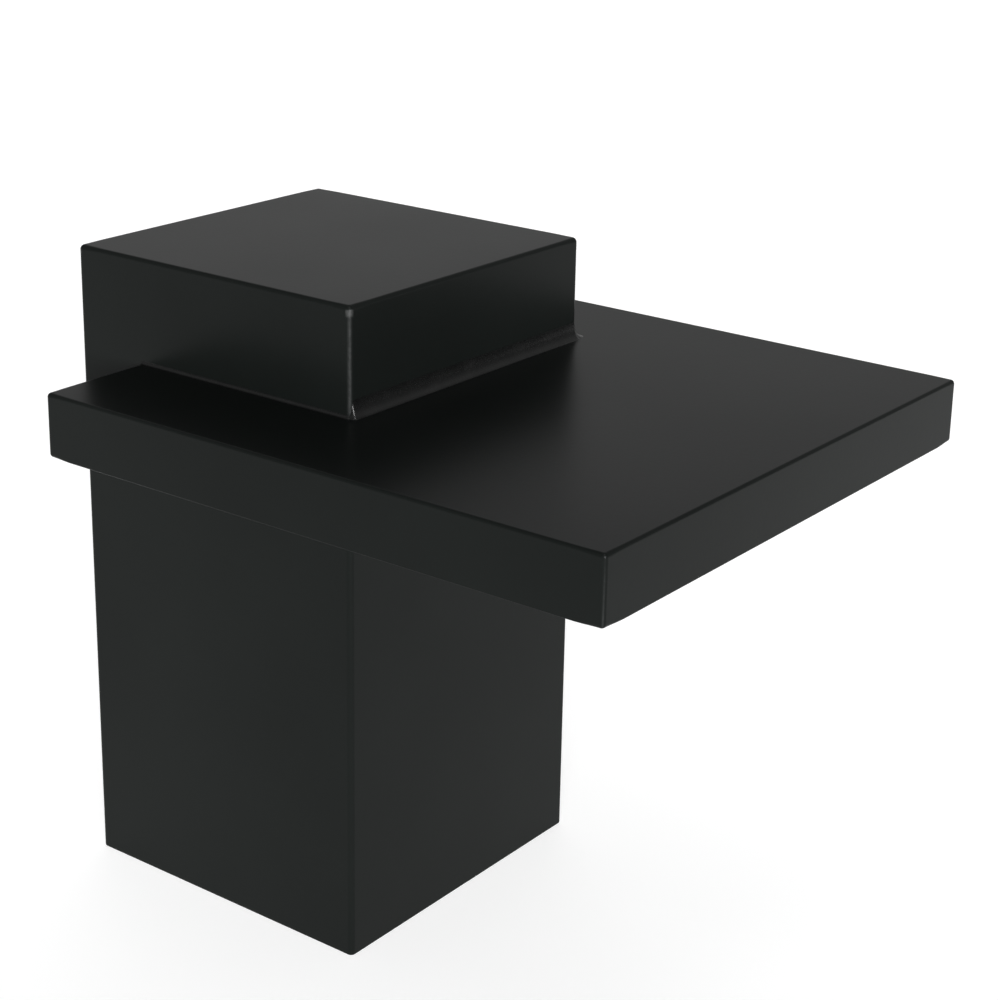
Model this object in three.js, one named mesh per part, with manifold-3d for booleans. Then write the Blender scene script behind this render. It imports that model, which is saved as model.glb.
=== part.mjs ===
// Square post sleeve with a closed block on top and a one-sided rain hood, for a 90 mm timber post.
// Millimetres, +Z up. The origin is the centre of the face that sits on the post's end.
// The hood reaches out towards -Y, which is the front; left is -X.
import * as THREE from 'three';
import { mergeVertices } from 'three/addons/utils/BufferGeometryUtils.js';
import Module from 'manifold-3d';

const wasm = await Module();
wasm.setup();

// ---------------------------------------------------------------- driving dimensions
const GAP = 0.3; // clearance between a piece and the piece it was cut for
const PAST = 2; // how far a cutting tool runs past the face that it opens

const SLEEVE = 100; // outside width of the square sleeve
const WALL = 3;
const SLEEVE_CORNER = 1.5;
const BORE_CORNER = 1;
const SKIRT = 140; // sleeve below the hood
const BLOCK = 30; // sleeve above the hood, top plate included
const TOP_PLATE = 3;
const TOP_EDGE = 1.2; // radius of the dressed edges at the very top

const HOOD_THICK = 18;
const HOOD_SHEET = 3;
const HOOD_SIDE = 35; // overhang at each side of the sleeve
const HOOD_FRONT = 104; // overhang in front of the sleeve
const HOOD_BACK_INSET = 24; // the hood ends this far short of the sleeve's back
const HOOD_CORNER = 1.2;
const HOOD_EDGE = 1;
const DRAIN_HOLE = 5;
const DRAIN_INSET = 13; // from the hood's sides and front to a drain hole's centre

const BAR = 12; // square bar of the hood frame; the stop plate is as thick
const SEAT_PAD = 3;
const SEAT_PAD_WIDTH = 84;

// Legs of the sealant cove on three sides of the sleeve: out along the hood, and up the sleeve.
const BEAD_LEFT = { out: 0.8, up: 1.1 };
const BEAD_FRONT = { out: 1.9, up: 5.3 };
const BEAD_RIGHT = { out: 3.4, up: 3.4 };
const BEAD_GAP = 0.05;

const STRIP_THICK = 1.5; // bearing strips on the two fixed walls
const STRIP_WIDTH = 60;
const STRIP_HEIGHT = 30;
const PLATE_THICK = 2; // clamp plates on the other two walls
const PLATE_WIDTH = 60;
const PLATE_HEIGHT = 100;
const CLAMP_LEVELS = { upper: -40, lower: -100 }; // heights of the set screws and the strips

const ARM_BOLT_Y = [-35, 5];
const STUD_Y = [-100, 15];
const ARM_COVER_SCREW_Y = [-125, -62, -12];
const SPREADER_COVER_SCREW_X = 25;

// Metric fasteners: d is the thread, socket and flats are measured across the flats.
const CAP_SCREW = { d: 6, head: 10, headHeight: 6, socket: 5, socketDepth: 3 };
const ARM_BOLT_LENGTH = 30;
const FRAME_SCREW_LENGTH = 25;
const FLAT_SCREW = { d: 4, head: 7.6, rim: 0.2, length: 10, socket: 2.5, socketDepth: 1.4 };
const NUT = { d: 4, flats: 7, height: 3.2 };
const STUD_LENGTH = 10.5;
const SET_SCREW = { d: 8, length: 6, dog: 5, dogLength: 1.8, socket: 4, socketDepth: 3 };
const WASHER = { outer: 12, thick: 1.6 };
const CHAMFER = 0.5;
const FACETS = 16; // sides of every turned piece and round hole

// ---------------------------------------------------------------- derived places
const HALF = SLEEVE / 2;
const BORE = HALF - WALL;
const HOOD_TOP = HOOD_THICK;
const BLOCK_TOP = HOOD_TOP + BLOCK;
const TUBE_TOP = BLOCK_TOP - TOP_PLATE;
const HOOD_X = HALF + HOOD_SIDE;
const HOOD_Y0 = -HALF - HOOD_FRONT;
const HOOD_Y1 = HALF - HOOD_BACK_INSET;
const CEILING = HOOD_TOP - HOOD_SHEET; // underside of the hood's top sheet
const BAR_Z0 = CEILING - BAR;
const BAR_Z = CEILING - BAR / 2;
const ARM_X = HALF + BAR / 2;
const ARM_Y0 = HOOD_Y0 + HOOD_SHEET + 1;
const ARM_Y1 = HOOD_Y1 - HOOD_SHEET - 1;
const SPREADER_Y = ARM_Y0 + BAR / 2;
const STOP_HALF = BORE - GAP;
const NUT_SEAT = CEILING - STUD_LENGTH + 1 + NUT.height; // top of the nuts on the studs
const DRAIN_X = HOOD_X - DRAIN_INSET;
const DRAIN_Y = HOOD_Y0 + DRAIN_INSET;
const SIDES = { left: -1, right: 1 };

// ---------------------------------------------------------------- materials
const finish = (color, roughness, metalness) => () =>
  new THREE.MeshStandardMaterial({ color, roughness, metalness });
const blackCoat = finish(0x17191a, 0.38, 0.1);
const sealant = finish(0x141516, 0.5, 0.0);
const millAluminium = finish(0xa9acae, 0.4, 1.0);
const stainless = finish(0xb9bab8, 0.28, 1.0);
const rubber = finish(0x1b1b1c, 0.85, 0.0);
const bearingStrip = finish(0x3a3c3d, 0.6, 0.0);

// ---------------------------------------------------------------- solids
function solid(geometry) {
  const bare = geometry.clone();
  bare.deleteAttribute('normal');
  bare.deleteAttribute('uv');
  const merged = mergeVertices(bare, 1e-4);
  const mesh = new wasm.Mesh({
    numProp: 3,
    vertProperties: new Float32Array(merged.attributes.position.array),
    triVerts: new Uint32Array(merged.index.array),
  });
  return new wasm.Manifold(mesh);
}

function geometryOf(manifold) {
  const { vertProperties, triVerts } = manifold.getMesh();
  const geometry = new THREE.BufferGeometry();
  geometry.setAttribute('position', new THREE.BufferAttribute(new Float32Array(vertProperties), 3));
  geometry.setIndex(new THREE.BufferAttribute(new Uint32Array(triVerts), 1));
  geometry.computeVertexNormals();
  return geometry;
}

const join = (...bodies) => bodies.reduce((all, body) => all.add(body));
const cut = (body, ...tools) => tools.reduce((rest, tool) => rest.subtract(tool), body);

function rectangle(x0, x1, y0, y1, radius) {
  const shape = new THREE.Shape();
  shape.moveTo(x0 + radius, y0);
  shape.absarc(x1 - radius, y0 + radius, radius, -Math.PI / 2, 0);
  shape.absarc(x1 - radius, y1 - radius, radius, 0, Math.PI / 2);
  shape.absarc(x0 + radius, y1 - radius, radius, Math.PI / 2, Math.PI);
  shape.absarc(x0 + radius, y0 + radius, radius, Math.PI, Math.PI * 1.5);
  return shape;
}

const square = (half, radius) => rectangle(-half, half, -half, half, radius);

// A prism between two heights; edge rounds both of its ends without changing the outline.
function prism(shape, z0, z1, edge = 0) {
  const geometry = new THREE.ExtrudeGeometry(shape, {
    depth: z1 - z0 - 2 * edge,
    curveSegments: 2,
    bevelEnabled: edge > 0,
    bevelThickness: edge,
    bevelSize: edge,
    bevelOffset: -edge,
    bevelSegments: 3,
  });
  return solid(geometry.translate(0, 0, z0 + edge));
}

function box(x0, x1, y0, y1, z0, z1) {
  const geometry = new THREE.BoxGeometry(x1 - x0, y1 - y0, z1 - z0);
  return solid(geometry.translate((x0 + x1) / 2, (y0 + y1) / 2, (z0 + z1) / 2));
}

// A solid of revolution about +Z; its [radius, z] points run upwards on the outside.
function turned(profile) {
  const points = profile.map(([radius, z]) => new THREE.Vector2(radius, z));
  return solid(new THREE.LatheGeometry(points, FACETS).rotateX(Math.PI / 2));
}

const rodZ = (x, y, z0, z1, radius) =>
  turned([[0, z0], [radius, z0], [radius, z1], [0, z1]]).translate([x, y, 0]);

function rodX(x0, x1, y, z, radius) {
  const geometry = new THREE.CylinderGeometry(radius, radius, x1 - x0, FACETS).rotateZ(Math.PI / 2);
  return solid(geometry.translate((x0 + x1) / 2, y, z));
}

function hexagon(flats, z0, z1) {
  const radius = flats / Math.sqrt(3);
  const geometry = new THREE.CylinderGeometry(radius, radius, z1 - z0, 6).rotateX(Math.PI / 2);
  return solid(geometry.translate(0, 0, (z0 + z1) / 2));
}

// The hole that lets the sleeve through, open to the hood's back.
function sleeveNotch() {
  const half = HALF + GAP;
  const outline = rectangle(-half, half, -half, HOOD_Y1 + 2 * SLEEVE_CORNER, SLEEVE_CORNER + GAP);
  return prism(outline, -PAST, HOOD_TOP + PAST);
}

// ---------------------------------------------------------------- the object
const postCap = new THREE.Group();

function place(name, body, material, parent = postCap) {
  const mesh = new THREE.Mesh(geometryOf(body), material());
  mesh.name = name;
  parent.add(mesh);
  return mesh;
}

// The sleeve is one tube from its rim to the top plate.
function addSleeve() {
  const wall = square(HALF, SLEEVE_CORNER);
  wall.holes.push(square(BORE, BORE_CORNER));
  const boltHoles = ARM_BOLT_Y.map((y) =>
    rodX(-HALF - PAST, HALF + PAST, y, BAR_Z, CAP_SCREW.d / 2 + GAP));
  const screwRadius = SET_SCREW.d / 2 + GAP;
  const screwHoles = Object.values(CLAMP_LEVELS).flatMap((z) => {
    const right = rodX(BORE - PAST, HALF + PAST, 0, z, screwRadius);
    return [right, right.rotate([0, 0, 90])];
  });
  place('post_sleeve', cut(prism(wall, -SKIRT, TUBE_TOP), ...boltHoles, ...screwHoles), blackCoat);

  const rounded = prism(square(HALF, SLEEVE_CORNER), HOOD_TOP, BLOCK_TOP, TOP_EDGE);
  const below = box(-SLEEVE, SLEEVE, -SLEEVE, SLEEVE, 0, TUBE_TOP);
  place('top_plate', cut(rounded, below), blackCoat);
}

// The hood's tray: top sheet and four walls, with weld studs hanging from the top sheet.
function addHoodShell() {
  const outside = rectangle(-HOOD_X, HOOD_X, HOOD_Y0, HOOD_Y1, HOOD_CORNER);
  const inside = rectangle(
    -HOOD_X + HOOD_SHEET, HOOD_X - HOOD_SHEET, HOOD_Y0 + HOOD_SHEET, HOOD_Y1 - HOOD_SHEET, 1);
  const tray = cut(
    prism(outside, 0, HOOD_TOP, HOOD_EDGE),
    prism(inside, -PAST, CEILING),
    sleeveNotch(),
  );
  const studs = STUD_Y.flatMap((y) => Object.values(SIDES).map((side) =>
    rodZ(side * ARM_X, y, CEILING - STUD_LENGTH, CEILING + 1, NUT.d / 2)));
  place('hood_shell', join(tray, ...studs), blackCoat);
}

const coverScrewPlaces = [
  ...ARM_COVER_SCREW_Y.flatMap((y) => [[-ARM_X, y], [ARM_X, y]]),
  [-SPREADER_COVER_SCREW_X, SPREADER_Y],
  [SPREADER_COVER_SCREW_X, SPREADER_Y],
];

function addHoodCover() {
  const inset = HOOD_SHEET + GAP;
  const outline = rectangle(-HOOD_X + inset, HOOD_X - inset, HOOD_Y0 + inset, HOOD_Y1 - inset, 1);
  const wide = FLAT_SCREW.head / 2 + FLAT_SCREW.rim + GAP * Math.SQRT2;
  const narrow = FLAT_SCREW.d / 2 + GAP;
  const countersink = turned([
    [0, -PAST],
    [wide, -PAST],
    [wide, 0],
    [narrow, wide - narrow],
    [narrow, HOOD_SHEET + PAST],
    [0, HOOD_SHEET + PAST],
  ]);
  const holes = coverScrewPlaces.map(([x, y]) => countersink.translate([x, y, 0]));
  const drains = Object.values(SIDES).map((side) =>
    rodZ(side * DRAIN_X, DRAIN_Y, -PAST, HOOD_SHEET + PAST, DRAIN_HOLE / 2));
  const plate = cut(prism(outline, 0, HOOD_SHEET), sleeveNotch(), ...holes, ...drains);
  place('hood_cover', plate, blackCoat);

  const shank = FLAT_SCREW.d / 2;
  const head = FLAT_SCREW.head / 2;
  const screw = cut(
    turned([
      [0, 0],
      [head, 0],
      [head, FLAT_SCREW.rim],
      [shank, FLAT_SCREW.rim + head - shank],
      [shank, FLAT_SCREW.length - CHAMFER],
      [shank - CHAMFER, FLAT_SCREW.length],
      [0, FLAT_SCREW.length],
    ]),
    hexagon(FLAT_SCREW.socket, -PAST, FLAT_SCREW.socketDepth),
  );
  coverScrewPlaces.forEach(([x, y], i) => {
    place(`cover_screw_${i + 1}`, screw, stainless).position.set(x, y, 0);
  });
}

// Two arms along the sleeve's sides and the bar that joins them at the front.
function addHoodFrame() {
  const bolt = CAP_SCREW.d / 2 + GAP;
  const thread = FLAT_SCREW.d / 2 + GAP;
  const screwTop = FLAT_SCREW.length + PAST;
  for (const [sideName, side] of Object.entries(SIDES)) {
    const x = side * ARM_X;
    const across = [...ARM_BOLT_Y, SPREADER_Y].map((y) =>
      rodX(x - BAR, x + BAR, y, BAR_Z, bolt));
    const screws = ARM_COVER_SCREW_Y.map((y) => rodZ(x, y, 0, screwTop, thread));
    const studHoles = STUD_Y.map((y) => rodZ(x, y, 0, HOOD_TOP, NUT.d / 2 + GAP));
    const nutPockets = STUD_Y.map((y) => rodZ(x, y, 0, NUT_SEAT, NUT.flats / Math.sqrt(3) + 2 * GAP));
    const bar = box(x - BAR / 2, x + BAR / 2, ARM_Y0, ARM_Y1, BAR_Z0, CEILING);
    place(`${sideName}_arm`, cut(bar, ...across, ...screws, ...studHoles, ...nutPockets), millAluminium);
  }

  const ends = Object.values(SIDES).map((side) => {
    const tip = side * (HALF + BAR - FRAME_SCREW_LENGTH - PAST);
    const mouth = side * (HALF + PAST);
    return rodX(Math.min(tip, mouth), Math.max(tip, mouth), SPREADER_Y, BAR_Z, bolt);
  });
  const below = Object.values(SIDES).map((side) =>
    rodZ(side * SPREADER_COVER_SCREW_X, SPREADER_Y, 0, screwTop, thread));
  const bar = box(-HALF, HALF, SPREADER_Y - BAR / 2, SPREADER_Y + BAR / 2, BAR_Z0, CEILING);
  place('front_spreader', cut(bar, ...ends, ...below), millAluminium);
}

function addShellNuts() {
  const nut = cut(
    hexagon(NUT.flats, 0, NUT.height),
    rodZ(0, 0, -PAST, NUT.height + PAST, NUT.d / 2 + GAP),
  );
  const places = STUD_Y.flatMap((y) => [[-ARM_X, y], [ARM_X, y]]);
  places.forEach(([x, y], i) => {
    place(`shell_nut_${i + 1}`, nut, stainless).position.set(x, y, NUT_SEAT - NUT.height);
  });
}

// A socket-head screw that points along +Z, with the seat of its head at the origin.
function capScrew(length) {
  const { d, head, headHeight, socket, socketDepth } = CAP_SCREW;
  const body = turned([
    [0, -headHeight],
    [head / 2 - CHAMFER, -headHeight],
    [head / 2, CHAMFER - headHeight],
    [head / 2, 0],
    [d / 2, 0],
    [d / 2, length - CHAMFER],
    [d / 2 - CHAMFER, length],
    [0, length],
  ]);
  return cut(body, hexagon(socket, -headHeight - PAST, socketDepth - headHeight));
}

function addCrossFasteners() {
  const bolt = capScrew(ARM_BOLT_LENGTH);
  const frameScrew = capScrew(FRAME_SCREW_LENGTH);
  const hole = CAP_SCREW.d / 2 + GAP;
  const ring = turned([
    [hole, 0],
    [WASHER.outer / 2, 0],
    [WASHER.outer / 2, WASHER.thick],
    [hole, WASHER.thick],
    [hole, 0],
  ]);
  const outerX = HALF + BAR;
  Object.values(SIDES).forEach((side, s) => {
    const inward = (-side * Math.PI) / 2;
    ARM_BOLT_Y.forEach((y, i) => {
      const number = s * ARM_BOLT_Y.length + i + 1;
      const washer = place(`arm_washer_${number}`, ring, stainless);
      washer.rotation.y = -inward;
      washer.position.set(side * outerX, y, BAR_Z);
      const screw = place(`arm_bolt_${number}`, bolt, stainless);
      screw.rotation.y = inward;
      screw.position.set(side * (outerX + WASHER.thick), y, BAR_Z);
    });
    const screw = place(`frame_screw_${s + 1}`, frameScrew, stainless);
    screw.rotation.y = inward;
    screw.position.set(side * outerX, SPREADER_Y, BAR_Z);
  });
}

// The block that stops on the post's end, bolted between the arms, and its rubber sheet.
function addPostStop() {
  const tip = HALF + BAR + WASHER.thick - ARM_BOLT_LENGTH - PAST;
  const holes = ARM_BOLT_Y.flatMap((y) => [
    rodX(-STOP_HALF - PAST, -tip, y, BAR_Z, CAP_SCREW.d / 2 + GAP),
    rodX(tip, STOP_HALF + PAST, y, BAR_Z, CAP_SCREW.d / 2 + GAP),
  ]);
  const block = prism(square(STOP_HALF, 2 * BORE_CORNER), BAR_Z0, CEILING);
  place('stop_plate', cut(block, ...holes), millAluminium);
  place('seat_pad', prism(square(SEAT_PAD_WIDTH / 2, 3), 0, SEAT_PAD), rubber);
}

// A hollow cove of sealant in the corner between the hood's top and the sleeve's three sides.
function addSealBead() {
  const steps = 5;
  const inner = HALF + BEAD_GAP;
  // Points of the section: outwards along the hood, then up the hollow curve to the sleeve.
  const hollow = ({ out, up }) => Array.from({ length: steps + 1 }, (_, i) => {
    const angle = (i / steps) * (Math.PI / 2);
    return [out * (1 - Math.sin(angle)), up * (1 - Math.cos(angle))];
  });
  const straight = (legs, length) => {
    const section = new THREE.Shape([[0, 0], ...hollow(legs)].map(([u, v]) => new THREE.Vector2(u, v)));
    const run = new THREE.ExtrudeGeometry(section, { depth: length, bevelEnabled: false });
    // Section u runs outwards along +X, v along +Z, and the run goes towards -Y.
    return solid(run.rotateX(Math.PI / 2)).translate([inner, 0, HOOD_TOP]);
  };
  const flat = HALF - SLEEVE_CORNER;
  const quarter = (legs, side) => {
    const r = SLEEVE_CORNER + BEAD_GAP;
    const ring = turned([[r, 0], ...hollow(legs).map(([u, v]) => [r + u, v]), [r, 0]]);
    const reach = r + legs.out + legs.up;
    const quadrant = side > 0
      ? box(0, reach, -reach, 0, -1, reach)
      : box(-reach, 0, -reach, 0, -1, reach);
    return ring.intersect(quadrant).translate([side * flat, -flat, HOOD_TOP]);
  };
  const sideLength = flat + HOOD_Y1;
  const right = straight(BEAD_RIGHT, sideLength).translate([0, HOOD_Y1, 0]);
  const left = straight(BEAD_LEFT, sideLength).rotate([0, 0, 180]).translate([0, -flat, 0]);
  const front = straight(BEAD_FRONT, 2 * flat).translate([0, flat, 0]).rotate([0, 0, -90]);
  const corners = [quarter(BEAD_FRONT, 1), quarter(BEAD_FRONT, -1)];
  place('seal_bead', join(front, left, right, ...corners), sealant);
}

// Strips on the left and front walls, which the post bears against.
function addBearingStrips() {
  for (const [level, z] of Object.entries(CLAMP_LEVELS)) {
    const heights = [z - STRIP_HEIGHT / 2, z + STRIP_HEIGHT / 2];
    const across = [-STRIP_WIDTH / 2, STRIP_WIDTH / 2];
    const depth = [-BORE, -BORE + STRIP_THICK];
    place(`left_strip_${level}`, box(...depth, ...across, ...heights), bearingStrip);
    place(`front_strip_${level}`, box(...across, ...depth, ...heights), bearingStrip);
  }
}

// A dog-point set screw along +Z, with its shoulder at the origin.
function setScrew() {
  const { d, length, dog, dogLength, socket, socketDepth } = SET_SCREW;
  const body = turned([
    [0, -length],
    [d / 2 - CHAMFER, -length],
    [d / 2, CHAMFER - length],
    [d / 2, -CHAMFER],
    [d / 2 - CHAMFER, 0],
    [dog / 2, 0],
    [dog / 2, dogLength - GAP],
    [dog / 2 - GAP, dogLength],
    [0, dogLength],
  ]);
  return cut(body, hexagon(socket, -length - PAST, socketDepth - length));
}

// A clamp plate hung on the points of its two set screws, built on the +X wall and turned.
function addClamp(wallName, turn) {
  const clamp = new THREE.Group();
  clamp.rotation.z = turn;
  postCap.add(clamp);
  const levels = Object.values(CLAMP_LEVELS);
  const middle = (levels[0] + levels[1]) / 2;
  const holes = levels.map((z) =>
    rodX(0, SLEEVE, 0, z, SET_SCREW.dog / 2 + GAP));
  const flat = prism(rectangle(
    -PLATE_HEIGHT / 2, PLATE_HEIGHT / 2, -PLATE_WIDTH / 2, PLATE_WIDTH / 2, 4), 0, PLATE_THICK);
  const standing = flat.rotate([0, -90, 0]).translate([BORE - GAP, 0, middle]);
  place(`${wallName}_clamp_plate`, cut(standing, ...holes), stainless, clamp);
  for (const [level, z] of Object.entries(CLAMP_LEVELS)) {
    const screw = place(`${wallName}_set_screw_${level}`, setScrew(), stainless, clamp);
    screw.rotation.y = -Math.PI / 2;
    screw.position.set(BORE, 0, z);
  }
}

addSleeve();
addHoodShell();
addHoodCover();
addHoodFrame();
addShellNuts();
addCrossFasteners();
addPostStop();
addSealBead();
addBearingStrips();
addClamp('right', 0);
addClamp('back', Math.PI / 2);

export default postCap;
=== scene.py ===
"""Looks of the square post cap: satin black powder coat, stainless fasteners, pale studio floor."""
import math

import bpy
from mathutils import Matrix, Vector


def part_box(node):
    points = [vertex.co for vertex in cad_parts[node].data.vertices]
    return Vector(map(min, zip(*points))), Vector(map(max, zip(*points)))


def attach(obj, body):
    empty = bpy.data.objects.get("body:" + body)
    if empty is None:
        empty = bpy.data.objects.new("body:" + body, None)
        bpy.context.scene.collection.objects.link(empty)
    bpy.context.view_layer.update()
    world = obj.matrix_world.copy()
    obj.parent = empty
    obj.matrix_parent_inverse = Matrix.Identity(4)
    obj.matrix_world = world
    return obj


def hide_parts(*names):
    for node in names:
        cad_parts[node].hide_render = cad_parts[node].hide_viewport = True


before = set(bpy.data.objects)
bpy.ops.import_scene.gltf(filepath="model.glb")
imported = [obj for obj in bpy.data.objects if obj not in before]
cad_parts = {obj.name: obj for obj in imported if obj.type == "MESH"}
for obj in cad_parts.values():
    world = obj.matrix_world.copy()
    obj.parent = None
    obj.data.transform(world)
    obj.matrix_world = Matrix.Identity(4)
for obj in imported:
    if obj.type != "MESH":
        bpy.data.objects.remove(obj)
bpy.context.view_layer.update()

MM = 0.001
TAU = 2 * math.pi

# ---------------------------------------------------------------- sizes, from the frame
SLEEVE_LO, SLEEVE_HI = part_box("post_sleeve")
TOP_LO, TOP_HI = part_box("top_plate")
HOOD_LO, HOOD_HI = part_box("hood_shell")
COVER_LO, COVER_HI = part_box("hood_cover")
ARM_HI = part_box("right_arm")[1]
PLATE_LO, PLATE_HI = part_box("right_clamp_plate")
HALF = SLEEVE_HI.x
WALL = 3 * MM
BORE = HALF - WALL
SHEET = 3 * MM
CEILING = ARM_HI.z  # the underside of the hood's top sheet
GAP = 0.3 * MM  # between the hood and the sleeve
PAST = 2 * MM  # how far a cutting tool runs past the face that it cuts

SLEEVE_CORNER = 1.5 * MM
BORE_CORNER = 1 * MM
RIM_EDGE = 0.5 * MM
HOOD_CORNER = 1.2 * MM
TRAY_CORNER = 1 * MM  # inside the tray, and on the cover that fits it
CLAMP_CORNER = 4 * MM
PAD_CORNER = 3 * MM  # on the seat pad and the bearing strips
PLATE_EDGE = 0.4 * MM
HOLD = 0.05 * MM  # a flat face starts this far past a rounded edge

# Radii of the dressed edges: along the sides, and at the corners, which are rubbed rounder.
TOP_EDGE = (1.1 * MM, 1.4 * MM)
HOOD_TOP_EDGE = (0.9 * MM, 1.1 * MM)
HOOD_LOW_EDGE = (0.35 * MM, 1.1 * MM)
EVEN_EDGE = (PLATE_EDGE, PLATE_EDGE)
CORNER_REACH = (1 * MM, 2.5 * MM, 4.5 * MM, 7 * MM)  # over which the first radius becomes the second

# How strong the painted highlight along the upright edges is, and how far round them it reaches in
# degrees.
BLOCK_HIGHLIGHT = 0.34
BLOCK_HIGHLIGHT_REACH = 27
TOP_HIGHLIGHT_REACH = 55
HOOD_HIGHLIGHT = 0.25
HOOD_HIGHLIGHT_REACH = 16

# Legs of the sealant cove: out along the hood, and up the sleeve.
BEAD_LEFT = (0.8 * MM, 1.1 * MM)
BEAD_FRONT = (1.9 * MM, 5.3 * MM)
BEAD_RIGHT = (3.4 * MM, 3.4 * MM)

# ---------------------------------------------------------------- camera, as in the photograph
CAMERA_PLACE = Vector((-456.19, -403.77, 195.79)) * MM
CAMERA_AZIMUTH = -53.045
CAMERA_ELEVATION = 18.247
CAMERA_ROLL = 1.09
CAMERA_LENS = 79.36
CAMERA_SENSOR = 36
CAMERA_SHIFT_Y = -0.08

# ---------------------------------------------------------------- light
GLOW_TOWARDS = (0.80, 0.60, 0.0)  # the room is brightest low down behind the cap
GLOW_RAMP = ((0.10, 0.35), (0.57, 0.88))  # brightness, and the cosine of the angle from its middle
# A pale band round the room: brightness, and the sine of the height.
BAND_RAMP = ((0.10, 0.03), (0.40, 0.32), (0.40, 0.55), (0.10, 0.80))
OVERHEAD_POWER = 0.4
OVERHEAD_ANGLE = 40
FILL_PLACE = (-0.98, -0.85, 0.12)
FILL_ANGLE = 30
FILL_POWER = 10
EDGE_PLACE = (-0.36, -0.58, 0.16)
EDGE_SIZE = (0.10, 0.44)
EDGE_POWER = 5
SPARK_PLACE = (-0.40, -0.56, 0.85)
SPARK_SIZE = 0.18
SPARK_POWER = 1.8
BACKDROP_PLACE = (1.7, 1.3, 1.3)
BACKDROP_SIZE = 2.0
BACKDROP_POWER = 14
FLOOR_GLOW = 0.64
FLOOR_REACH = 14.0

# ---------------------------------------------------------------- meshes


def smooth(share):
    share = min(1.0, max(0.0, share))
    return share * share * (3 - 2 * share)


def outline(rect, radius, steps=12):
    """Counter-clockwise points of a rounded rectangle.

    Each one is x, y, outward x, outward y, and its nearness to a corner from 0 to 1."""
    x0, x1, y0, y1 = rect
    reach = (HOLD, *CORNER_REACH)
    points = []
    for x, y, start in ((x1, y0, -90), (x1, y1, 0), (x0, y1, 90), (x0, y0, 180)):
        cx = x - math.copysign(radius, x - (x0 + x1) / 2)
        cy = y - math.copysign(radius, y - (y0 + y1) / 2)
        stops = [(0, -away) for away in reversed(reach)]
        stops += [(90 * i / steps, 0) for i in range(steps + 1)]
        stops += [(90, away) for away in reach]
        for turn, along in stops:
            angle = math.radians(start + turn)
            out_x, out_y = math.cos(angle), math.sin(angle)
            near = 1 - smooth(abs(along) / reach[-1])
            px = cx + radius * out_x - along * out_y
            py = cy + radius * out_y + along * out_x
            points.append((px, py, out_x, out_y, near))
    return points


def flat_ring(points, z, inset=0.0):
    """A ring at one height, moved inwards all round."""
    return [(x - nx * inset, y - ny * inset, z) for x, y, nx, ny, _ in points]


def edge_ring(points, end, into, edge, angle, beyond=0.0):
    """A ring on the rounded edge at height end: angle 0 is the side face, pi/2 the end face.

    into is +1 or -1, from the end face towards the body. beyond runs on past the edge, over
    either face."""
    ring = []
    for x, y, nx, ny, near in points:
        radius = edge[0] + (edge[1] - edge[0]) * near
        inset = radius * (1 - math.cos(angle)) + beyond * math.sin(angle)
        depth = radius * (1 - math.sin(angle)) + beyond * math.cos(angle)
        ring.append((x - nx * inset, y - ny * inset, end + into * depth))
    return ring


def rounded_edge(points, end, into, edge, steps=9):
    """Rings from the side face round to the end face."""
    rings = [edge_ring(points, end, into, edge, 0, HOLD)]
    for i in range(steps + 1):
        rings.append(edge_ring(points, end, into, edge, math.pi / 2 * i / steps))
    return rings + [edge_ring(points, end, into, edge, math.pi / 2, HOLD)]


def loft(rings, closed=False):
    """The skin over rings of points, capped at both ends unless it closes on itself."""
    count = len(rings[0])
    vertices = [point for ring in rings for point in ring]
    faces = []
    spans = len(rings) if closed else len(rings) - 1
    for k in range(spans):
        low, high = k * count, (k + 1) % len(rings) * count
        for i in range(count):
            j = (i + 1) % count
            faces.append((low + i, low + j, high + j, high + i))
    if not closed:
        faces.append(tuple(reversed(range(count))))
        last = (len(rings) - 1) * count
        faces.append(tuple(range(last, last + count)))
    return vertices, faces


def slab(rect, radius, z0, z1, low_edge, high_edge, steps=12):
    """A rounded plate between two heights."""
    points = outline(rect, radius, steps)
    low = rounded_edge(points, z0, 1, low_edge)[::-1]
    return loft(low + rounded_edge(points, z1, -1, high_edge))


def circle(radius, z, count=48):
    """A ring of points; radius is a number or a function of the angle."""
    reach = radius if callable(radius) else lambda angle: radius
    angles = [TAU * i / count for i in range(count)]
    return [(reach(a) * math.cos(a), reach(a) * math.sin(a), z) for a in angles]


def turned(profile, count=48, closed=False):
    """A shape turned about Z from (radius, z) stops."""
    return loft([circle(radius, z, count) for radius, z in profile], closed)


def hexagon(flats):
    """The radius of a hexagon as a function of the angle, corners at every 60 degrees."""
    def reach(angle):
        return flats / 2 / math.cos((angle + math.pi / 6) % (math.pi / 3) - math.pi / 6)
    return lambda angle: reach(angle + math.pi / 6)


def thread_rings(radius, pitch, z0, z1, count, rows=6):
    """Rings of a right-hand thread between two heights, run out to the root at both ends."""
    depth = 0.61 * pitch
    start = 0.35 * depth  # how far the thread already stands up at its ends
    meeting, slope = 1.25, 3.2  # depth at which the groove's flanks would meet; it is cut flat at 1
    total = max(2, round((z1 - z0) / pitch * rows))
    rings = []
    for k in range(total + 1):
        z = z0 + (z1 - z0) * k / total
        room = min(z - z0, z1 - z) + start

        def reach(angle, z=z, room=room):
            phase = (z / pitch - angle / TAU) % 1
            groove = min(1.0, max(0.0, meeting - abs(phase - 0.5) * slope))
            return radius - max(depth * groove, depth - room, 0)
        rings.append(circle(reach, z, count))
    return rings


def moved(shape, matrix):
    vertices, faces = shape
    return [tuple(matrix @ Vector(v)) for v in vertices], faces


def mesh_object(name, shape):
    mesh = bpy.data.meshes.new(name)
    mesh.from_pydata(shape[0], [], shape[1])
    made = bpy.data.objects.new(name, mesh)
    bpy.context.scene.collection.objects.link(made)
    return made


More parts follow.
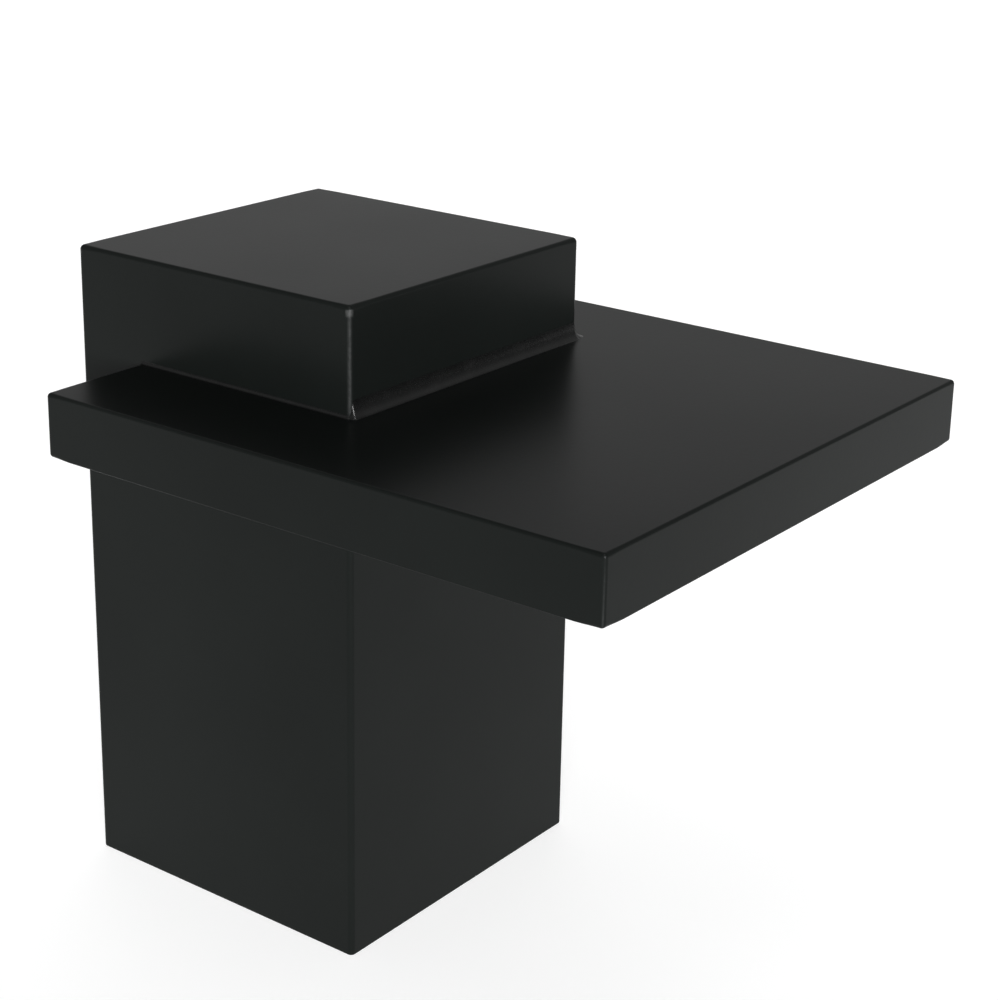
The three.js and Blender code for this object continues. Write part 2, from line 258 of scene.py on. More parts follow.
def carved(made, tools, extras=()):
    """Cuts the tool shapes out of an object and joins the extra ones to it."""
    steps = [("DIFFERENCE", shape) for shape in tools] + [("UNION", shape) for shape in extras]
    for operation, shape in steps:
        tool = mesh_object("tool", shape)
        cut = made.modifiers.new("cut", "BOOLEAN")
        cut.operation = operation
        cut.solver = "EXACT"
        cut.object = tool
        graph = bpy.context.evaluated_depsgraph_get()
        done = bpy.data.meshes.new_from_object(made.evaluated_get(graph))
        made.modifiers.clear()
        made.data = done
        bpy.data.objects.remove(tool)
    return made


def edge_highlight_field(rect, radius, reach, level):
    """How strong the painted highlight is near the upright corners; level gives it by height.

    reach is how far round the corner it shows, in degrees from the corner's middle."""
    x0, x1, y0, y1 = rect
    inner = 0.3 * radius  # a point nearer the middle of the corner's arc isn't on the skin
    middle = 45

    def edge_highlight(x, y, z):
        sx = math.copysign(1, x - (x0 + x1) / 2)
        sy = math.copysign(1, y - (y0 + y1) / 2)
        out_x = sx * (x - (x1 if sx > 0 else x0)) + radius
        out_y = sy * (y - (y1 if sy > 0 else y0)) + radius
        if min(out_x, out_y) < 0 or math.hypot(out_x, out_y) < inner:
            return 0.0
        away = abs(math.degrees(math.atan2(out_y, out_x)) - middle)
        return max(0.0, 1 - away / reach) * level(z)
    return edge_highlight


def piece(name, shape, material, node, body="root", tools=(), extras=(), edge_highlight=None):
    """One finished piece in the place of its CAD node."""
    made = carved(mesh_object(name, shape), tools, extras)
    mesh = made.data
    mesh.name = name
    mesh.materials.clear()
    mesh.materials.append(material)
    mesh.shade_smooth()
    mesh.set_sharp_from_angle(angle=math.radians(30))
    # The values kept at the points paint a highlight along the upright edges: the coat turns grey
    # there.
    if edge_highlight:
        values = mesh.attributes.new("edge_highlight", "FLOAT", "POINT").data
        values.foreach_set("value", [edge_highlight(*vertex.co) for vertex in mesh.vertices])
    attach(made, body)
    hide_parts(node)
    return made


# ---------------------------------------------------------------- materials


class Finish:
    """A material built from object-space noise, with short calls for its usual steps."""

    def __init__(self, name, **sockets):
        self.material = bpy.data.materials.new(name)
        self.material.use_nodes = True
        self.tree = self.material.node_tree
        self.shader = self.tree.nodes["Principled BSDF"]
        for socket, value in sockets.items():
            self.shader.inputs[socket.replace("_", " ")].default_value = value
        self.place = self.tree.nodes.new("ShaderNodeTexCoord").outputs["Object"]

    def link(self, source, target):
        self.tree.links.new(source, target)

    def noise(self, per_metre, detail=2.0, stretch=None):
        texture = self.tree.nodes.new("ShaderNodeTexNoise")
        texture.inputs["Scale"].default_value = per_metre
        texture.inputs["Detail"].default_value = detail
        source = self.place
        if stretch:
            mapping = self.tree.nodes.new("ShaderNodeMapping")
            mapping.inputs["Scale"].default_value = stretch
            self.link(source, mapping.inputs["Vector"])
            source = mapping.outputs["Vector"]
        self.link(source, texture.inputs["Vector"])
        return texture.outputs["Fac"]

    def spread(self, source, low, high, start=0.3, end=0.7):
        """Maps a noise to a range of values."""
        node = self.tree.nodes.new("ShaderNodeMapRange")
        limits = {"From Min": start, "From Max": end, "To Min": low, "To Max": high}
        for socket, value in limits.items():
            node.inputs[socket].default_value = value
        self.link(source, node.inputs["Value"])
        return node.outputs["Result"]

    def colours(self, source, low, high):
        node = self.tree.nodes.new("ShaderNodeValToRGB")
        first, last = node.color_ramp.elements
        first.position, last.position = 0.3, 0.7
        first.color, last.color = (*low, 1), (*high, 1)
        self.link(source, node.inputs["Fac"])
        return node.outputs["Color"]

    def combined(self, operation, first, second):
        node = self.tree.nodes.new("ShaderNodeMath")
        node.operation = operation
        self.link(first, node.inputs[0])
        self.link(second, node.inputs[1])
        return node.outputs["Value"]

    def added(self, first, second):
        return self.combined("ADD", first, second)

    def times(self, first, second):
        return self.combined("MULTIPLY", first, second)

    def bump(self, height, depth):
        node = self.tree.nodes.new("ShaderNodeBump")
        node.inputs["Strength"].default_value = 1.0
        node.inputs["Distance"].default_value = depth
        self.link(height, node.inputs["Height"])
        self.link(node.outputs["Normal"], self.shader.inputs["Normal"])

    def wear_and_highlight(self, colour, bare, amount):
        """Shows a second colour through another one, by an amount from 0 to 1: scuffs and stains, and
        on the coat a painted highlight.
        """
        mixed = self.tree.nodes.new("ShaderNodeMix")
        mixed.data_type = "RGBA"
        first, second = [socket for socket in mixed.inputs if socket.type == "RGBA"]
        self.link(amount, mixed.inputs["Factor"])
        self.link(colour, first)
        second.default_value = (*bare, 1)
        return next(socket for socket in mixed.outputs if socket.type == "RGBA")

    def scuffs(self, amount, per_metre, stretch=None):
        """Sparse patches of wear."""
        return self.spread(self.noise(per_metre, 4, stretch), 0, amount, start=0.56, end=0.68)

    def marked(self, attribute):
        """Reads a value that the mesh carries at its points."""
        node = self.tree.nodes.new("ShaderNodeAttribute")
        node.attribute_name = attribute
        return node.outputs["Fac"]

    def use(self, socket, source):
        self.link(source, self.shader.inputs[socket])


HIGHLIGHT_GREY = (0.055, 0.056, 0.056)  # the grey of the painted highlight along the upright edges


def powder_coat():
    """Satin black coat: a fine orange peel, a soft cloudiness in its gloss, hardly any colour, and a
    painted grey highlight along the upright edges.
    """
    finish = Finish("black_coat", IOR=1.155)
    cloud = finish.noise(14, 3)
    peel = finish.noise(700, 2)
    grain = finish.noise(3200, 1)
    coat = finish.colours(cloud, (0.0036, 0.0043, 0.0040), (0.0046, 0.0055, 0.0051))
    # A painted highlight: the black turns grey along the upright edges, by the value that the mesh
    # keeps at its points, broken up by a fine noise.
    broken = finish.spread(finish.noise(900, 3), 0.6, 1, start=0.4, end=0.6)
    finish.use("Base Color", finish.wear_and_highlight(coat, HIGHLIGHT_GREY, finish.times(finish.marked("edge_highlight"), broken)))
    gloss = finish.added(finish.spread(cloud, 0.29, 0.32), finish.spread(grain, 0, 0.02))
    finish.use("Roughness", gloss)
    finish.bump(finish.added(finish.spread(peel, 0, 1), finish.spread(grain, 0, 0.25)), 0.004 * MM)
    return finish.material


def sealant():
    """Overpainted sealant: smooth and slightly wavy, a little greyer where it is scuffed."""
    finish = Finish("sealant", IOR=1.38)
    wave = finish.noise(160, 2)
    skin = finish.noise(1800, 2)
    paint = finish.colours(wave, (0.0018, 0.0019, 0.0019), (0.0028, 0.0030, 0.0029))
    finish.use("Base Color", finish.wear_and_highlight(paint, (0.006, 0.006, 0.006), finish.scuffs(0.3, 150)))
    finish.use("Roughness", finish.spread(skin, 0.26, 0.31))
    finish.bump(finish.added(finish.spread(wave, 0, 1), finish.spread(skin, 0, 0.1)), 0.02 * MM)
    return finish.material


def metal(name, low, high, rough, stretch):
    """Bare metal with fine lines along one direction and a few darker clouds."""
    finish = Finish(name, Metallic=1.0)
    cloud = finish.noise(60, 3)
    lines = finish.noise(900, 3, stretch)
    stained = [0.6 * level for level in low]
    bright = finish.colours(cloud, low, high)
    finish.use("Base Color", finish.wear_and_highlight(bright, stained, finish.scuffs(0.5, 250)))
    finish.use("Roughness", finish.spread(lines, rough - 0.07, rough + 0.09))
    finish.bump(finish.spread(lines, 0, 1), 0.006 * MM)
    return finish.material


def rubber():
    """Matte sheet rubber with a cloth print and greyer scuffs."""
    finish = Finish("seat_rubber")
    cloud = finish.noise(90, 3)
    cloth = finish.noise(2200, 2)
    sheet = finish.colours(cloud, (0.018, 0.018, 0.019), (0.030, 0.030, 0.031))
    finish.use("Base Color", finish.wear_and_highlight(sheet, (0.07, 0.07, 0.068), finish.scuffs(0.4, 300)))
    finish.use("Roughness", finish.spread(cloud, 0.72, 0.86))
    finish.bump(finish.spread(cloth, 0, 1), 0.05 * MM)
    return finish.material


def strip_plastic():
    """Dark plastic with fine lines along the way that the post slides in."""
    finish = Finish("bearing_strip")
    cloud = finish.noise(120, 3)
    drawn = finish.noise(700, 3, (1, 1, 0.06))
    plastic = finish.colours(cloud, (0.045, 0.047, 0.049), (0.065, 0.067, 0.070))
    slid = finish.scuffs(0.5, 500, (1, 1, 0.06))
    finish.use("Base Color", finish.wear_and_highlight(plastic, (0.11, 0.11, 0.11), slid))
    finish.use("Roughness", finish.spread(drawn, 0.42, 0.60))
    finish.bump(finish.spread(drawn, 0, 1), 0.01 * MM)
    return finish.material


COAT = powder_coat()
SEALANT = sealant()
ALUMINIUM = metal("mill_aluminium", (0.60, 0.61, 0.62), (0.70, 0.71, 0.72), 0.36, (1, 0.05, 1))
STAINLESS = metal("stainless", (0.52, 0.51, 0.49), (0.64, 0.63, 0.61), 0.30, (1, 1, 0.2))
RUBBER = rubber()
STRIP = strip_plastic()

# ---------------------------------------------------------------- sleeve and top
SQUARE = (-HALF, HALF, -HALF, HALF)
BORE_SQUARE = (-BORE, BORE, -BORE, BORE)
CLAMPS = {"right": 0.0, "back": math.pi / 2}  # each clamped wall, and its turn about Z from the right
LEVELS = ("upper", "lower")


def node_middle(node):
    low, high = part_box(node)
    return (low + high) / 2


def add_sleeve():
    """The square tube, with the set screws' threaded holes and the arm bolts' plain ones."""
    low, high = SLEEVE_LO.z, SLEEVE_HI.z
    outside = outline(SQUARE, SLEEVE_CORNER)
    inside = outline(BORE_SQUARE, BORE_CORNER)
    rim = (RIM_EDGE, RIM_EDGE)
    outer = rounded_edge(outside, low, 1, rim, 4)[::-1]
    highlight_start = HOOD_HI.z - 2 * MM  # hidden in the hood: no painted highlight up to here
    outer += [flat_ring(outside, z) for z in (highlight_start, HOOD_HI.z, high)]
    inner = [
        flat_ring(inside, high),
        flat_ring(inside, low + RIM_EDGE),
        flat_ring(inside, low, -RIM_EDGE),
    ]
    thread = 4.1 * MM
    chamfer = 0.4 * MM
    over = 1 * MM
    tool = turned([
        (thread, -WALL),
        (thread, WALL - chamfer),
        (thread + chamfer + over, WALL + over),
    ])
    tools = []
    for wall, turn in CLAMPS.items():
        for level in LEVELS:
            z = node_middle(f"{wall}_set_screw_{level}").z
            along_x = Matrix.Translation((BORE, 0, z)) @ Matrix.Rotation(math.pi / 2, 4, "Y")
            tools.append(moved(tool, Matrix.Rotation(turn, 4, "Z") @ along_x))
    reach = HALF + PAST
    bolt_hole = 3.3 * MM
    drill = turned([(bolt_hole, -reach), (bolt_hole, reach)])
    for bolt in ("arm_bolt_1", "arm_bolt_2"):
        middle = node_middle(bolt)
        across_x = Matrix.Translation((0, middle.y, middle.z)) @ Matrix.Rotation(math.pi / 2, 4, "Y")
        tools.append(moved(drill, across_x))

    # A painted highlight along the upright edges, only above the part hidden in the hood.
    def level(z):
        return BLOCK_HIGHLIGHT if z > (highlight_start + HOOD_HI.z) / 2 else 0
    shape = loft(outer + inner, closed=True)
    piece("sleeve", shape, COAT, "post_sleeve", tools=tools,
          edge_highlight=edge_highlight_field(SQUARE, SLEEVE_CORNER, BLOCK_HIGHLIGHT_REACH, level))


def add_top():
    """The top plate; each upright corner gets a painted highlight, a grey spot just below the rounded
    edge.
    """
    top = TOP_HI.z
    points = outline(SQUARE, SLEEVE_CORNER)
    below_edge = (2.4 * MM, 1.9 * MM)
    rings = [flat_ring(points, TOP_LO.z)]
    rings += [flat_ring(points, top - depth) for depth in below_edge]
    rings += rounded_edge(points, top, -1, TOP_EDGE)
    # In mm below the top: where the painted highlight spot starts and ends, each with the depth over
    # which it fades, and where the even painted highlight of the upright edge starts.
    spot_start, fade_in = 0.9, 0.4
    spot_end, fade_out = 2.0, 1.2
    side_start = 1.4

    def level(z):
        depth = (top - z) / MM
        entered = smooth((depth - spot_start) / fade_in)
        left = smooth((depth - spot_end) / fade_out)
        return max(entered * (1 - left), BLOCK_HIGHLIGHT if depth > side_start else 0)
    piece("top", loft(rings), COAT, "top_plate",
          edge_highlight=edge_highlight_field(SQUARE, SLEEVE_CORNER, TOP_HIGHLIGHT_REACH, level))


# ---------------------------------------------------------------- hood
HOOD = (HOOD_LO.x, HOOD_HI.x, HOOD_LO.y, HOOD_HI.y)
STUD_LENGTH = 10.5 * MM
WELDED = 0.5 * MM  # how far the studs run into the sheet
DRAIN = 2.5 * MM
DRAIN_INSET = 13 * MM


def notch_tool(z0, z1):
    """The way through the hood for the sleeve, open to the back."""
    half = HALF + GAP
    behind = 20 * MM
    rect = (-half, half, -half, HOOD_HI.y + behind)
    points = outline(rect, SLEEVE_CORNER + GAP)
    return loft([flat_ring(points, z0), flat_ring(points, z1)])


def add_hood_shell():
    """The tray, with its weld studs; its upright corners get a painted grey highlight, stronger
    towards their lower ends.
    """
    x0, x1, y0, y1 = HOOD
    body = slab(HOOD, HOOD_CORNER, HOOD_LO.z, HOOD_HI.z, HOOD_LOW_EDGE, HOOD_TOP_EDGE)
    inside = outline((x0 + SHEET, x1 - SHEET, y0 + SHEET, y1 - SHEET), TRAY_CORNER, 4)
    cavity = loft([flat_ring(inside, HOOD_LO.z - PAST), flat_ring(inside, CEILING)])
    tools = [cavity, notch_tool(HOOD_LO.z - PAST, HOOD_HI.z + PAST)]
    studs = []
    for k in range(4):
        middle = node_middle(f"shell_nut_{k + 1}")
        spot = Matrix.Translation((middle.x, middle.y, CEILING - STUD_LENGTH))
        studs.append(moved(stud(), spot))

    def level(z):
        return HOOD_HIGHLIGHT * (1 - smooth((z - HOOD_LO.z) / (HOOD_HI.z - HOOD_LO.z)))
    piece("hood_tray", body, COAT, "hood_shell", tools=tools, extras=studs,
          edge_highlight=edge_highlight_field(HOOD, HOOD_CORNER, HOOD_HIGHLIGHT_REACH, level))


def add_hood_cover():
    """The plate that closes the hood from below, with countersinks and two drain holes."""
    rect = (COVER_LO.x, COVER_HI.x, COVER_LO.y, COVER_HI.y)
    body = slab(rect, TRAY_CORNER, COVER_LO.z, COVER_HI.z, EVEN_EDGE, EVEN_EDGE, 4)
    tools = [notch_tool(COVER_LO.z - PAST, COVER_HI.z + PAST)]
    wide, narrow = 4.8 * MM, 2.3 * MM
    outside, depth = 0.5 * MM, 2.0 * MM  # the cone starts outside the face and ends at this depth
    sink = turned([
        (wide, -PAST),
        (wide, -outside),
        (narrow, depth),
        (narrow, SHEET + PAST),
    ])
    for k in range(8):
        middle = node_middle(f"cover_screw_{k + 1}")
        tools.append(moved(sink, Matrix.Translation((middle.x, middle.y, COVER_LO.z))))
    drain = turned([(DRAIN, -PAST), (DRAIN, SHEET + PAST)])
    for side in (-1, 1):
        spot = (side * (HOOD_HI.x - DRAIN_INSET), HOOD_LO.y + DRAIN_INSET, 0)
        tools.append(moved(drain, Matrix.Translation(spot)))
    piece("hood_floor", body, COAT, "hood_cover", tools=tools)


def between(first, last, share):
    return tuple(a + (b - a) * share for a, b in zip(first, last))


def bead_path():
    """The cove's stops, from the hood's back at the left, round the front, to its back at the right.

    Each one is a point on the sleeve, its outward direction, and the legs there."""
    flat = HALF - SLEEVE_CORNER
    back = HOOD_HI.y
    side_steps, arc_steps, front_steps = 16, 16, 24
    # The parts of the two corners' arcs over which the legs change.
    left_swell, right_swell = (0.45, 1), (0.25, 0.75)
    corners = (
        (-flat, math.pi, (BEAD_LEFT, BEAD_FRONT), left_swell),
        (flat, 1.5 * math.pi, (BEAD_FRONT, BEAD_RIGHT), right_swell),
    )
    stops = []
    for i in range(side_steps):
        stops.append(((-HALF, back - (flat + back) * i / side_steps), (-1, 0), BEAD_LEFT))
    for centre, start, legs, swell in corners:
        for i in range(arc_steps):
            angle = start + math.pi / 2 * i / arc_steps
            out = (math.cos(angle), math.sin(angle))
            spot = (centre + SLEEVE_CORNER * out[0], -flat + SLEEVE_CORNER * out[1])
            share = smooth((i / arc_steps - swell[0]) / (swell[1] - swell[0]))
            stops.append((spot, out, between(*legs, share)))
        if centre < 0:
            for i in range(front_steps):
                stops.append(((2 * flat * i / front_steps - flat, -HALF), (0, -1), BEAD_FRONT))
    for i in range(side_steps + 1):
        stops.append(((HALF, (flat + back) * i / side_steps - flat), (1, 0), BEAD_RIGHT))
    return stops


def add_bead():
    """The sealant cove where the sleeve comes up through the hood."""
    steps = 12
    straightness = 0.15  # from 0, a round hollow, to 1, a flat slope
    sunk = 0.02 * MM  # into the sleeve and the hood
    rings = []
    for (x, y), (ox, oy), (out, up) in bead_path():
        section = [(0, 0)]
        for i in reversed(range(steps + 1)):
            share = i / steps
            angle = math.pi / 2 * share
            hollow = (out * (1 - math.sin(angle)), up * (1 - math.cos(angle)))
            section.append(between(hollow, (out * (1 - share), up * share), straightness))
        rings.append([
            (x + ox * (u - sunk), y + oy * (u - sunk), HOOD_HI.z + v - sunk) for u, v in section
        ])
    piece("corner_bead", loft(rings), SEALANT, "seal_bead")


# ---------------------------------------------------------------- fasteners
M8 = {"radius": 4 * MM, "pitch": 1.25 * MM}
M6 = {"radius": 3 * MM, "pitch": 1.0 * MM}
M4 = {"radius": 2 * MM, "pitch": 0.7 * MM}
M6_HEAD = 6 * MM
THREAD_START = 0.05 * MM  # between a thread and the plain part before it


def socket_rings(head_radius, flats, face_z, depth, count):
    """Rings of a screw's head, along +Z: up out of its hexagon socket and round over its face."""
    fillet = 0.3 * MM
    lead = 0.25 * MM  # the chamfer round the socket's mouth
    tip, tip_depth = 0.3 * MM, 0.8 * MM  # the cone at the socket's bottom
    key = hexagon(flats)
    wide = hexagon(flats + 2 * lead)
    bottom = face_z + depth
    return [
        circle(tip, bottom + tip_depth, count),
        circle(key, bottom, count),
        circle(key, face_z + lead, count),
        circle(wide, face_z, count),
        circle(head_radius - fillet, face_z, count),
        circle(head_radius, face_z + fillet, count),
    ]


def set_screw():
    """Dog-point set screw along +Z, its shoulder at the origin, its socket at the low end."""
    count = 48
    length = 5.99 * MM
    face = M8["radius"] - 0.75 * MM
    point, tip = 2.5 * MM, 2.2 * MM
    straight, point_length = 1.5 * MM, 1.8 * MM
    hold = 0.02 * MM  # the thread ends this far inside both of its faces
    socket = socket_rings(face, 4 * MM, -length, 3 * MM, count)
    rings = socket[:-1]  # the thread takes the place of the head's side
    rings += thread_rings(M8["radius"], M8["pitch"], hold - length, -hold, count, 8)
    rings += [circle(point, 0, count), circle(point, straight, count)]
    rings += [circle(tip, point_length, count)]
    return loft(rings)


def flat_screw():
    """Countersunk screw along +Z, its head's face at the origin."""
    count = 36
    head, head_end, length = 3.8 * MM, 2.1 * MM, 10 * MM
    rings = socket_rings(head, 2.5 * MM, 0, 1.4 * MM, count)
    rings += [circle(M4["radius"], head_end, count)]
    rings += thread_rings(M4["radius"], M4["pitch"], head_end + THREAD_START, length, count)
    return loft(rings)


def cap_screw(length):
    """Socket-head screw along +Z, the seat of its knurled head at the origin."""
    count = 48
    head = 5 * MM
    knurls, knurl_depth = 24, 0.12 * MM
    knurl_ends = (-5.2 * MM, -0.5 * MM)
    seat_edge = 0.15 * MM
    threaded = 20 * MM
    plain = max(0, length - threaded)

    def knurl(angle):
        return head - knurl_depth * (0.5 - 0.5 * math.cos(knurls * angle))
    rings = socket_rings(head, 5 * MM, -M6_HEAD, 3 * MM, count)
    rings += [circle(knurl, z, count) for z in knurl_ends]
    rings += [circle(head - seat_edge, 0, count), circle(M6["radius"], 0, count)]
    rings += [circle(M6["radius"], plain, count)]
    rings += thread_rings(M6["radius"], M6["pitch"], plain + THREAD_START, length, count)
    return loft(rings)


def nut():
    """M4 nut along +Z, its low face at the origin."""
    count = 36
    height = 3.2 * MM
    outer = hexagon(7 * MM)
    corner_depth = 0.35 * MM
    bore, mouth, mouth_depth = 2.1 * MM, 2.35 * MM, 0.3 * MM

    def cornered(limit):
        return lambda angle: min(outer(angle), limit)
    soft, full = cornered(3.55 * MM), cornered(4.1 * MM)
    profile = [
        (soft, 0),
        (full, corner_depth),
        (full, height - corner_depth),
        (soft, height),
        (mouth, height),
        (bore, height - mouth_depth),
        (bore, mouth_depth),
        (mouth, 0),
    ]
    return turned(profile, count, closed=True)


def washer():
    """M6 washer along +Z, its low face at the origin."""
    outer, inner, thick, soft = 6 * MM, 3.3 * MM, 1.6 * MM, 0.15 * MM
    profile = [
        (inner + soft, 0),
        (outer - soft, 0),
        (outer, soft),
        (outer, thick - soft),
        (outer - soft, thick),
        (inner + soft, thick),
        (inner, thick - soft),
        (inner, soft),
    ]
    return turned(profile, 48, closed=True)


def stud():
    """Weld stud along +Z, with a plain root that runs on into the sheet."""
    count = 24
    root, root_length = 1.5 * MM, 0.5 * MM
    rings = thread_rings(M4["radius"], M4["pitch"], 0, STUD_LENGTH - root_length, count)
    return loft(rings + [circle(root, STUD_LENGTH + WELDED, count)])


def across(node, name, shape, from_inside=False):
    """Lays a fastener made along +Z across the object: towards the middle, or outwards."""
    low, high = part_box(node)
    middle = node_middle(node)
    side = math.copysign(1, middle.x)
    if from_inside:
        start = min(abs(low.x), abs(high.x))
        turn = side * math.pi / 2
    else:
        start = max(abs(low.x), abs(high.x)) - M6_HEAD
        turn = -side * math.pi / 2
    spot = Matrix.Translation((side * start, middle.y, middle.z))
    shape = moved(shape, spot @ Matrix.Rotation(turn, 4, "Y"))
    piece(name, shape, STAINLESS, node)


def add_fasteners():
    for k in range(8):
        node = f"cover_screw_{k + 1}"
        middle = node_middle(node)
        spot = Matrix.Translation((middle.x, middle.y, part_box(node)[0].z))
        piece(f"cover_screw_fine_{k + 1}", moved(flat_screw(), spot), STAINLESS, node)
    for k in range(4):
        node = f"shell_nut_{k + 1}"
        middle = node_middle(node)
        spot = Matrix.Translation((middle.x, middle.y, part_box(node)[0].z))
        piece(f"shell_nut_fine_{k + 1}", moved(nut(), spot), STAINLESS, node)
        across(f"arm_washer_{k + 1}", f"arm_washer_fine_{k + 1}", washer(), from_inside=True)
        across(f"arm_bolt_{k + 1}", f"arm_bolt_fine_{k + 1}", cap_screw(length=30 * MM))
    for k in range(2):
        across(f"frame_screw_{k + 1}", f"frame_screw_fine_{k + 1}", cap_screw(length=25 * MM))


# ---------------------------------------------------------------- clamps, strips and seat


def add_clamps():
    """Each plate is made at the right wall and turned to its own; its screws ride on it."""
    standing = Matrix.Rotation(-math.pi / 2, 4, "Y")
    middle = (PLATE_LO + PLATE_HI) / 2
    height, width = PLATE_HI.z - PLATE_LO.z, PLATE_HI.y - PLATE_LO.y
    rect = (-height / 2, height / 2, -width / 2, width / 2)
    flat = slab(rect, CLAMP_CORNER, 0, PLATE_HI.x - PLATE_LO.x, EVEN_EDGE, EVEN_EDGE, 8)
    upright = moved(flat, Matrix.Translation((PLATE_HI.x, 0, middle.z)) @ standing)
    point_hole = 2.8 * MM
    hole = turned([(point_hole, -PAST), (point_hole, 2 * PAST)])
    for wall, turn in CLAMPS.items():
        turning = Matrix.Rotation(turn, 4, "Z")
        screws = {level: node_middle(f"{wall}_set_screw_{level}").z for level in LEVELS}
        tools = [moved(hole, turning @ Matrix.Translation((PLATE_HI.x, 0, z)) @ standing)
                 for z in screws.values()]
        piece(f"{wall}_clamp_plate_fine", moved(upright, turning), STAINLESS,
              f"{wall}_clamp_plate", body=f"{wall}_clamp", tools=tools)
        for level, z in screws.items():
            spot = turning @ Matrix.Translation((BORE, 0, z)) @ standing
            piece(f"{wall}_set_screw_fine_{level}", moved(set_screw(), spot), STAINLESS,
                  f"{wall}_set_screw_{level}", body=f"{wall}_screw_{level}")


def add_strips():
    """Each strip is made at the right wall and turned to its own."""
    thick, width = 1.5 * MM, 60 * MM
    for wall, turn in (("left", math.pi), ("front", -math.pi / 2)):
        for level in LEVELS:
            node = f"{wall}_strip_{level}"
            low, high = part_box(node)
            height = high.z - low.z
            rect = (-height / 2, height / 2, -width / 2, width / 2)
            shape = slab(rect, PAD_CORNER, 0, thick, EVEN_EDGE, EVEN_EDGE, 6)
            standing = Matrix.Rotation(-math.pi / 2, 4, "Y")
            spot = Matrix.Translation((BORE, 0, (low.z + high.z) / 2)) @ standing
            piece(f"{node}_fine", moved(shape, Matrix.Rotation(turn, 4, "Z") @ spot), STRIP, node)


def add_seat():
    low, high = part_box("seat_pad")
    rect = (low.x, high.x, low.y, high.y)
    sheet = slab(rect, PAD_CORNER, low.z, high.z, EVEN_EDGE, EVEN_EDGE, 6)
    piece("seat_sheet", sheet, RUBBER, "seat_pad")


def finish_cad_nodes():
    """The arms, the spreader and the stop plate stay as the CAD made them."""
    for node in ("left_arm", "right_arm", "front_spreader", "stop_plate"):
        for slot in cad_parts[node].material_slots:
            slot.material = ALUMINIUM


# ---------------------------------------------------------------- studio


def add_floor():
    """A large floor that glows softly, so that it stays white with hardly any shadow."""
    signs = ((-1, -1), (1, -1), (1, 1), (-1, 1))
    points = [(x * FLOOR_REACH, y * FLOOR_REACH, SLEEVE_LO.z) for x, y in signs]
    made = mesh_object("floor", (points, [(0, 1, 2, 3)]))
    finish = Finish("pale_floor", Roughness=0.9, Emission_Color=(1, 1, 1, 1),
                    Emission_Strength=FLOOR_GLOW)
    pale = finish.colours(finish.noise(9, 3), (0.49, 0.49, 0.49), (0.51, 0.51, 0.51))
    finish.use("Base Color", pale)
    made.data.materials.append(finish.material)


def add_world():
    """A room that is pale low down behind the object and dimmer overhead and in front."""
    world = bpy.data.worlds.new("studio")
    world.use_nodes = True
    tree = world.node_tree
    place = tree.nodes.new("ShaderNodeTexCoord")
    brighter = tree.nodes.new("ShaderNodeMix")
    brighter.data_type = "RGBA"
    brighter.blend_type = "LIGHTEN"
    brighter.inputs["Factor"].default_value = 1
    slots = [socket for socket in brighter.inputs if socket.type == "RGBA"]
    for slot, axis, stops in zip(slots, (GLOW_TOWARDS, (0, 0, 1)), (GLOW_RAMP, BAND_RAMP)):
        towards = tree.nodes.new("ShaderNodeVectorMath")
        towards.operation = "DOT_PRODUCT"
        towards.inputs[1].default_value = axis
        ramp = tree.nodes.new("ShaderNodeValToRGB")
        elements = ramp.color_ramp.elements
        while len(elements) < len(stops):
            elements.new(0.5)
        for element, (level, where) in zip(elements, stops):
            element.position = where
            element.color = (level, level, level, 1)
        tree.links.new(place.outputs["Generated"], towards.inputs[0])
        tree.links.new(towards.outputs["Value"], ramp.inputs["Fac"])
        tree.links.new(ramp.outputs["Color"], slot)
    mixed = next(socket for socket in brighter.outputs if socket.type == "RGBA")
    tree.links.new(mixed, tree.nodes["Background"].inputs["Color"])
    bpy.context.scene.world = world


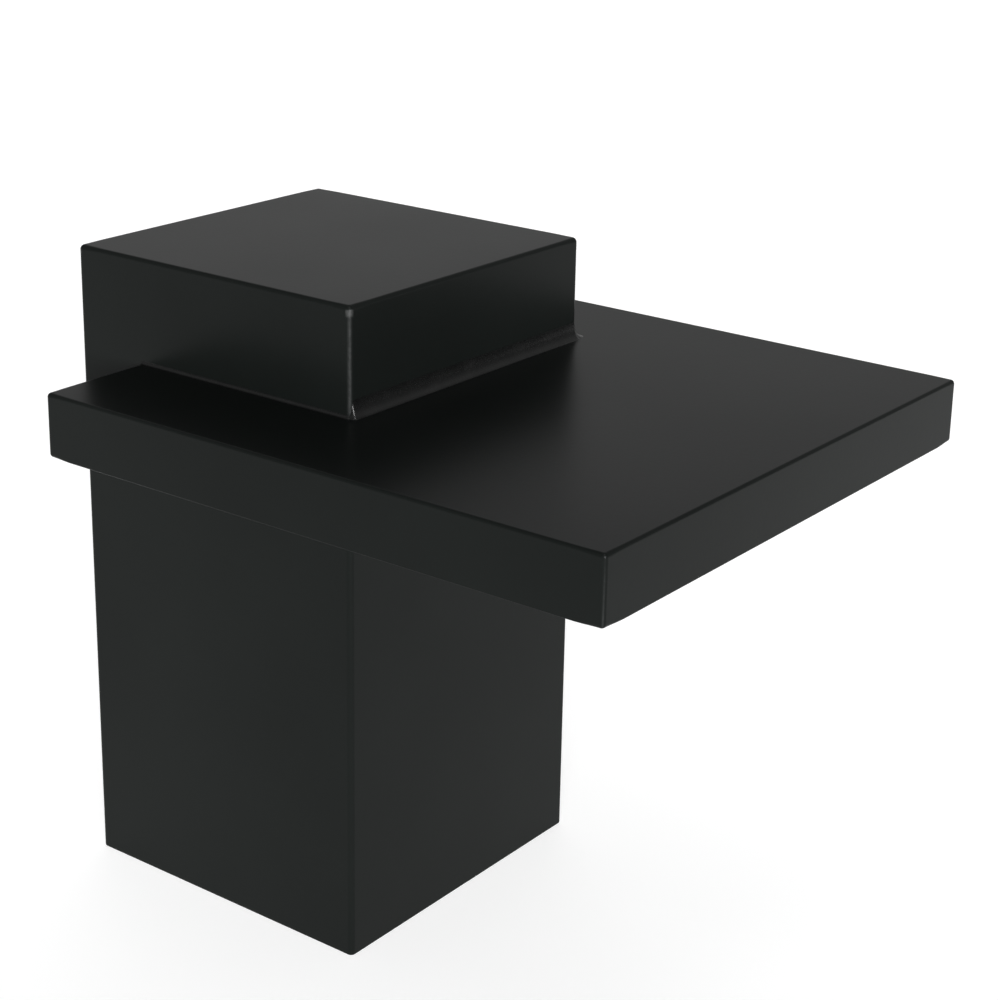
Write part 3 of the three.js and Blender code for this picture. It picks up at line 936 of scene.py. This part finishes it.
def add_lamp(name, kind, place, aim, power, diffuse=True, glossy=True, **settings):
    """A lamp aimed at a point; diffuse and glossy say which of the two it lights."""
    data = bpy.data.lights.new(name, kind)
    data.energy = power
    for setting, value in settings.items():
        setattr(data, setting, value)
    made = bpy.data.objects.new(name, data)
    made.location = place
    made.rotation_euler = (Vector(aim) - Vector(place)).to_track_quat("-Z", "Y").to_euler()
    made.visible_camera = False
    made.visible_diffuse = diffuse
    made.visible_glossy = glossy
    bpy.context.scene.collection.objects.link(made)


def add_lamps():
    """Fill, overhead and backdrop light walls and floor; edge and spark draw the bright edges."""
    corner = (-HALF, -HALF, 0)
    add_lamp("overhead", "SUN", (0, 0, 2), (0, 0, 0), OVERHEAD_POWER,
             angle=math.radians(OVERHEAD_ANGLE))
    add_lamp("fill", "SUN", FILL_PLACE, corner, FILL_POWER, glossy=False,
             angle=math.radians(FILL_ANGLE))
    add_lamp("edge", "AREA", EDGE_PLACE, (-HALF, -HALF, EDGE_PLACE[2]), EDGE_POWER, diffuse=False,
             shape="RECTANGLE", size=EDGE_SIZE[0], size_y=EDGE_SIZE[1])
    add_lamp("spark", "AREA", SPARK_PLACE, corner, SPARK_POWER, diffuse=False,
             shape="SQUARE", size=SPARK_SIZE)
    add_lamp("backdrop", "AREA", BACKDROP_PLACE, (*BACKDROP_PLACE[:2], 0), BACKDROP_POWER,
             glossy=False, shape="SQUARE", size=BACKDROP_SIZE)


def add_camera():
    a, e = math.radians(CAMERA_AZIMUTH), math.radians(CAMERA_ELEVATION)
    back = Vector((math.sin(a) * math.cos(e), -math.cos(a) * math.cos(e), math.sin(e)))
    data = bpy.data.cameras.new("camera")
    data.lens = CAMERA_LENS
    data.sensor_width = CAMERA_SENSOR
    data.shift_y = CAMERA_SHIFT_Y
    data.clip_start, data.clip_end = 0.01, 50
    made = bpy.data.objects.new("camera", data)
    aim = (-back).to_track_quat("-Z", "Y").to_matrix().to_4x4()
    roll = Matrix.Rotation(math.radians(CAMERA_ROLL), 4, "Z")
    made.matrix_world = Matrix.Translation(CAMERA_PLACE) @ aim @ roll
    bpy.context.scene.collection.objects.link(made)
    bpy.context.scene.camera = made


add_sleeve()
add_top()
add_hood_shell()
add_hood_cover()
add_bead()
add_fasteners()
add_clamps()
add_strips()
add_seat()
finish_cad_nodes()
add_floor()
add_world()
add_lamps()
add_camera()
bpy.context.scene.view_settings.view_transform = "Standard"
